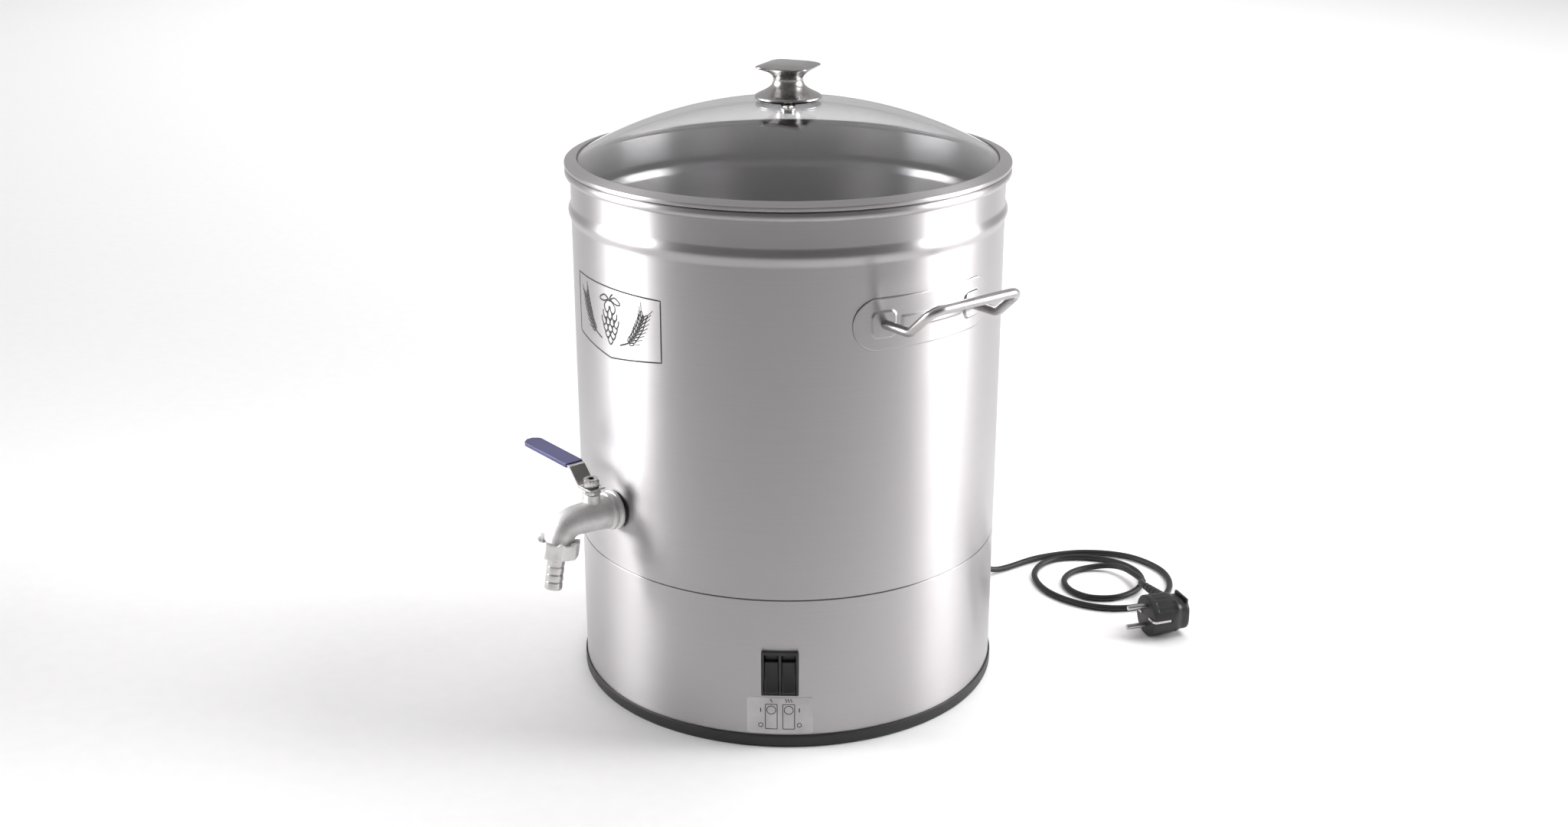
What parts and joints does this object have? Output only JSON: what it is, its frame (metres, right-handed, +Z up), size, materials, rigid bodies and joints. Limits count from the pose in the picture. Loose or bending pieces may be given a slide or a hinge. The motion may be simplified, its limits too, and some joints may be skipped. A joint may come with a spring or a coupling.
{
  "type": "electric brew kettle",
  "caption": "Tall round stainless brew kettle on a heated base, with ball tap, bent rod handles, rocker switches, domed glass lid with vent and knob, and a mains lead with plug.",
  "frame": {"origin": "on the kettle's vertical axis, at the surface that its foot ring stands on", "axes": "+Z up; the tap points along -Y, the handles stand at +X and -X, and the mains lead leaves at +Y"},
  "size_m": [0.4654, 0.6502, 0.5293],
  "materials": {
    "vessel steel": "satin stainless sheet, spun and brushed round the wall",
    "handle steel": "satin stainless rod and pressed plate",
    "knob steel": "smoked satin nickel plating",
    "tap casting": "bead-blasted investment-cast stainless",
    "turned steel": "bright turned stainless",
    "zinc plate": "zinc-plated sheet",
    "aluminium": "as cast",
    "element sheath": "heat-darkened steel sheath",
    "copper": "bare copper stud",
    "nickel plate": "nickel-plated brass",
    "lid glass": "clear tempered glass",
    "black plastic": "fine matt moulding",
    "black rubber": "soft black rubber",
    "blue vinyl": "dipped vinyl grip",
    "ptfe": "white ptfe",
    "ceramic": "cream ceramic body",
    "white nylon": "natural nylon",
    "clear silicone": "translucent silicone",
    "label film": "silver printed film",
    "red wire": "silicone sleeving",
    "brown wire": "silicone sleeving",
    "green wire": "silicone sleeving"
  },
  "bodies": {
    "kettle": {"vessel_wall": "vessel steel", "vessel_floor": "vessel steel", "base_skirt": "vessel steel", "foot_ring": "black rubber", "base_plate": "zinc plate", "base_screw_1": "zinc plate", "base_screw_2": "zinc plate", "base_screw_3": "zinc plate", "heat_spreader": "aluminium", "heater_cover": "zinc plate", "cover_nut": "zinc plate", "element_low": "element sheath", "element_high": "element sheath", "thermal_cutout": "ceramic", "terminal_block": "white nylon", "earth_stud": "copper", "wire_low": "red wire", "wire_high": "brown wire", "wire_earth": "green wire", "switch_housing": "black plastic", "switch_label": "label film", "handle_plate_right": "handle steel", "handle_plate_left": "handle steel", "handle_rod_right": "handle steel", "handle_rod_left": "handle steel", "tap_body": "tap casting", "tap_gasket_outer": "black rubber", "tap_gasket_inner": "black rubber", "tap_locknut": "turned steel", "ball_seat_inlet": "ptfe", "ball_seat_outlet": "ptfe", "packing_nut": "turned steel", "outlet_washer": "black rubber", "hose_tail": "turned steel", "union_nut": "tap casting", "cord_gland": "black plastic", "gland_locknut": "black plastic", "strain_relief": "black rubber", "power_cord": "black rubber", "plug_boot": "black rubber", "plug_body": "black plastic", "plug_pin_upper": "nickel plate", "plug_pin_lower": "nickel plate", "earth_clip_front": "nickel plate", "earth_clip_back": "nickel plate"},
    "lid": {"lid_glass": "lid glass", "lid_vent_eyelet": "turned steel", "lid_rim_band": "vessel steel", "knob_seal": "clear silicone", "lid_knob": "knob steel", "knob_screw": "turned steel"},
    "tap_lever": {"tap_lever": "handle steel", "lever_sleeve": "blue vinyl", "lever_nut": "turned steel", "lever_washer": "turned steel", "tap_stem": "turned steel", "tap_ball": "turned steel"},
    "rocker_low": {"rocker_low": "black plastic"},
    "rocker_high": {"rocker_high": "black plastic"}
  },
  "joints": [
    {"name": "lid_lift", "type": "slide", "parent": "kettle", "child": "lid", "axis": [0, 0, 1], "range_m": [0, 0.2]},
    {"name": "tap_lever_turn", "type": "hinge", "parent": "kettle", "child": "tap_lever", "pos_m": [0, -0.2028, 0.1823], "axis": [0, 0, 1], "range_deg": [0, 87]},
    {"name": "rocker_low_tilt", "type": "hinge", "parent": "kettle", "child": "rocker_low", "pos_m": [0.13027, -0.12047, 0.0664], "axis": [0.6494, 0.7604, 0], "range_deg": [0, 16]},
    {"name": "rocker_high_tilt", "type": "hinge", "parent": "kettle", "child": "rocker_high", "pos_m": [0.13937, -0.10982, 0.0664], "axis": [0.6494, 0.7604, 0], "range_deg": [0, 16]}
  ]
}
